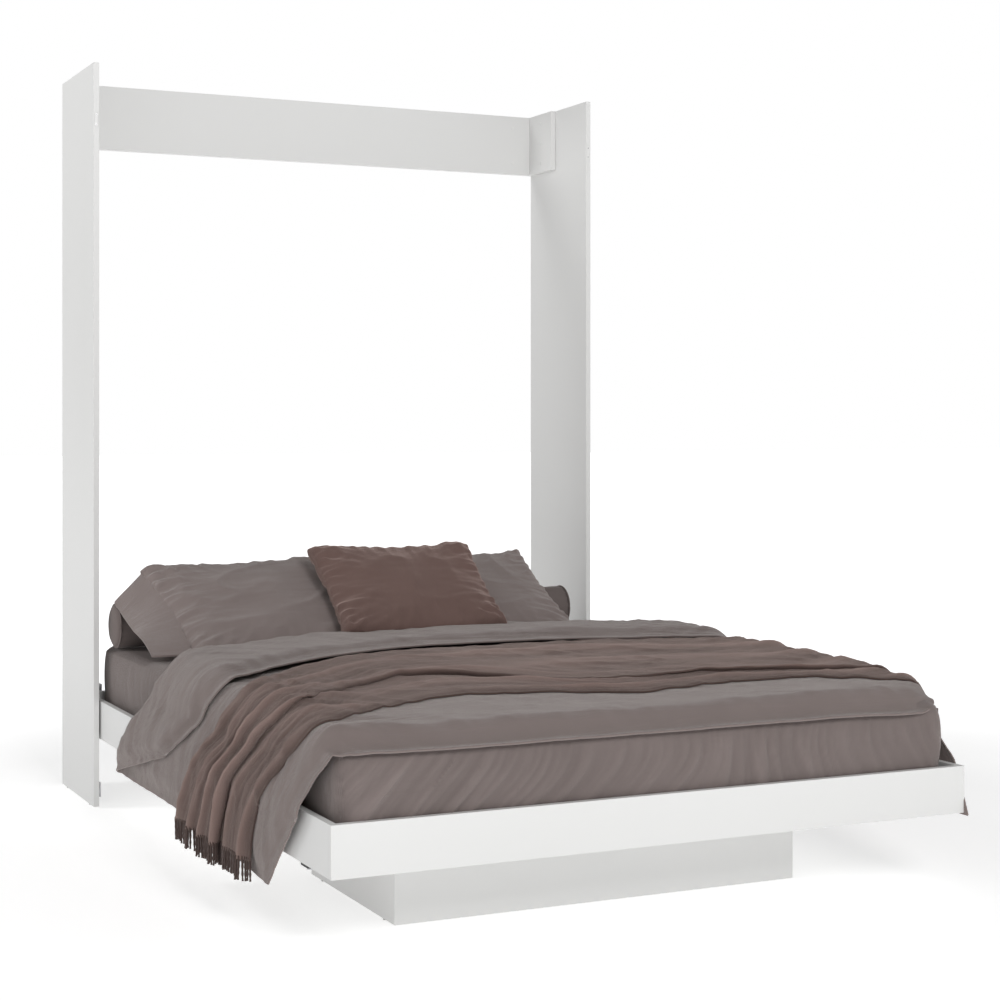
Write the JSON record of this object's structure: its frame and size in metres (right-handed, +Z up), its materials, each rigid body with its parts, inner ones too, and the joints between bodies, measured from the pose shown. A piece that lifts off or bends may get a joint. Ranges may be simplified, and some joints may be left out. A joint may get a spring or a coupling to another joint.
{
  "type": "murphy wall bed",
  "caption": "Open-fronted fold-down wall bed: slim side panels and top rail, a shallow tray on a box leg that swings up on two pivots, mattress and layered bedding.",
  "frame": {"origin": "centre of the bed's footprint at floor level, half-way between the wall and the foot of the open bed", "axes": "+Z up, +Y towards the wall the bed is fixed to, +X to the right seen from the foot"},
  "size_m": [1.7, 2.343, 2.243],
  "materials": {
    "board": "light grey-white melamine on chipboard, satin",
    "base_board": "light grey-white melamine on chipboard, satin",
    "beech": "beech, unfinished",
    "slat_ply": "bent laminated birch, clear lacquer",
    "steel": "zinc plated",
    "grey_tube": "silver grey powder coat",
    "spring_steel": "oiled spring wire",
    "white_plastic": "moulded, matt",
    "dark_plastic": "moulded, matt",
    "felt": "pressed felt",
    "mattress_ticking": "quilted ticking over foam",
    "sheet_cloth": "taupe cotton, matt",
    "strap_web": "woven webbing",
    "duvet_cloth": "taupe cotton sateen",
    "throw_cloth": "brown-mauve woven wool with fringe",
    "pillow_cloth": "taupe cotton, stitched flange",
    "bolster_cloth": "taupe cotton, piped ends",
    "velvet": "brown-mauve velvet"
  },
  "bodies": {
    "cabinet": {"side_panel_left": "board", "side_panel_right": "board", "cheek_left": "board", "cheek_right": "board", "top_rail": "board", "lower_stretcher": "board", "cabinet_dowels": "beech", "cheek_screws": "steel", "strikes": "white_plastic", "strike_screws": "steel", "pivot_bushes": "white_plastic", "panel_glides": "dark_plastic", "anchor_left": "steel", "anchor_right": "steel", "anchor_rods": "steel", "anchor_screws": "steel", "spring_left": "spring_steel", "spring_right": "spring_steel"},
    "bed": {"side_board_left": "board", "side_board_right": "board", "foot_board": "board", "head_board": "board", "leg_front": "board", "leg_back": "board", "leg_left": "board", "leg_right": "board", "base_panel_head": "base_board", "base_panel_foot": "base_board", "slats": "slat_ply", "pivot_pins": "steel", "pivot_screws": "steel", "lever_left": "steel", "lever_right": "steel", "lever_rods": "steel", "lever_bolts": "steel", "corner_brackets": "steel", "leg_brackets": "steel", "latch_posts": "steel", "slat_rail_left": "grey_tube", "slat_rail_right": "grey_tube", "cross_tubes": "grey_tube", "centre_beam": "grey_tube", "pivot_washers": "white_plastic", "latch_bases": "white_plastic", "slat_holders": "dark_plastic", "strap_anchors": "dark_plastic", "leg_glides": "felt", "mattress": "mattress_ticking", "fitted_sheet": "sheet_cloth", "mattress_strap": "strap_web", "duvet": "duvet_cloth", "throw": "throw_cloth", "pillow_left": "pillow_cloth", "pillow_right": "pillow_cloth", "bolster": "bolster_cloth", "cushion": "velvet"},
    "latch_left": {"latch_bar_left": "dark_plastic"},
    "latch_right": {"latch_bar_right": "dark_plastic"}
  },
  "joints": [
    {"name": "bed_fold", "type": "hinge", "parent": "cabinet", "child": "bed", "pos_m": [0, 0.8135, 0.258], "axis": [-1, 0, 0], "range_deg": [0, 90], "deforming": ["spring_left", "spring_right"]},
    {"name": "latch_left_turn", "type": "hinge", "parent": "bed", "child": "latch_left", "pos_m": [-0.811, -0.9995, 0.198], "axis": [0, 0, 1], "range_deg": [0, 90]},
    {"name": "latch_right_turn", "type": "hinge", "parent": "bed", "child": "latch_right", "pos_m": [0.811, -0.9995, 0.198], "axis": [0, 0, -1], "range_deg": [0, 90]}
  ]
}
